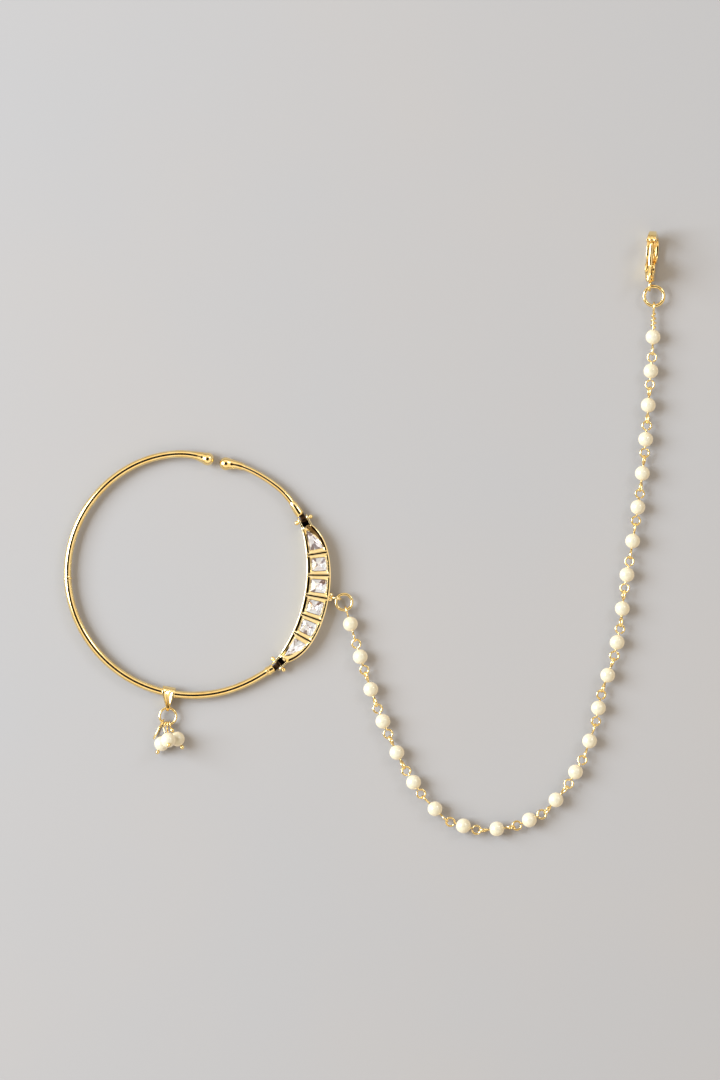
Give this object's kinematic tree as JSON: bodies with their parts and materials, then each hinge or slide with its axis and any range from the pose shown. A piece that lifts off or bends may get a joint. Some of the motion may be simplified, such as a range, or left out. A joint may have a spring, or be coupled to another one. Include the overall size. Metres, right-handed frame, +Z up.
{
  "type": "nath nose ring",
  "caption": "Hinged gold nath nose ring with a crescent of clear stones, a pearl drop and a pearl chain ending in a lobster clasp, lying flat.",
  "frame": {"origin": "centre of the jewel's outline on the surface that it lies on", "axes": "+Z up from that surface; the crescent is towards +X and the clasp end of the chain is towards +Y"},
  "size_m": [0.1202, 0.1208, 0.0066],
  "materials": {
    "polished_gold": "mirror-polished yellow gold plate",
    "pale_gold": "bright pale gold plate with polished rims",
    "pearl_cream": "cream pearl lustre",
    "clear_crystal": "clear faceted crystal"
  },
  "bodies": {
    "crescent": {"stone_setting": "pale_gold", "stone_1": "clear_crystal", "stone_2": "clear_crystal", "stone_3": "clear_crystal", "stone_4": "clear_crystal", "stone_5": "clear_crystal", "stone_6": "clear_crystal", "hinge_pin_upper": "polished_gold", "hinge_pin_lower": "polished_gold", "chain_ring": "polished_gold", "chain_links": "polished_gold", "chain_pearl_01": "pearl_cream", "chain_pearl_02": "pearl_cream", "chain_pearl_03": "pearl_cream", "chain_pearl_04": "pearl_cream", "chain_pearl_05": "pearl_cream", "chain_pearl_06": "pearl_cream", "chain_pearl_07": "pearl_cream", "chain_pearl_08": "pearl_cream", "chain_pearl_09": "pearl_cream", "chain_pearl_10": "pearl_cream", "chain_pearl_11": "pearl_cream", "chain_pearl_12": "pearl_cream", "chain_pearl_13": "pearl_cream", "chain_pearl_14": "pearl_cream", "chain_pearl_15": "pearl_cream", "chain_pearl_16": "pearl_cream", "chain_pearl_17": "pearl_cream", "chain_pearl_18": "pearl_cream", "chain_pearl_19": "pearl_cream", "chain_pearl_20": "pearl_cream", "chain_pearl_21": "pearl_cream", "chain_pearl_22": "pearl_cream", "chain_pearl_23": "pearl_cream", "chain_pearl_24": "pearl_cream", "chain_pearl_25": "pearl_cream", "clasp_ring": "polished_gold", "clasp_body": "polished_gold", "clasp_rivet": "polished_gold"},
    "long_arc": {"ring_long_arc": "polished_gold", "drop_bail": "polished_gold", "drop_ring": "polished_gold", "drop_oval_link": "polished_gold", "drop_bead": "polished_gold", "drop_pin_1": "polished_gold", "drop_pin_2": "polished_gold", "drop_pin_3": "polished_gold", "drop_pearl_1": "pearl_cream", "drop_pearl_2": "pearl_cream", "drop_pearl_3": "pearl_cream"},
    "short_arc": {"ring_short_arc": "polished_gold"},
    "lever": {"clasp_lever": "polished_gold"}
  },
  "joints": [
    {"name": "lower_hinge", "type": "hinge", "parent": "crescent", "child": "long_arc", "pos_m": [-0.0172, -0.02605, 0.0013], "axis": [0.6997, -0.7145, 0], "range_deg": [-40, 40]},
    {"name": "upper_hinge", "type": "hinge", "parent": "crescent", "child": "short_arc", "pos_m": [-0.01212, 0.00279, 0.0013], "axis": [0.9018, 0.4321, 0], "range_deg": [-40, 40]},
    {"name": "clasp_lever_hinge", "type": "hinge", "parent": "crescent", "child": "lever", "pos_m": [0.05691, 0.05234, 0.00408], "axis": [-0.9901, 0.0692, -0.1219], "range_deg": [0, 22], "stiffness_Nm_per_rad": 0.0005}
  ]
}
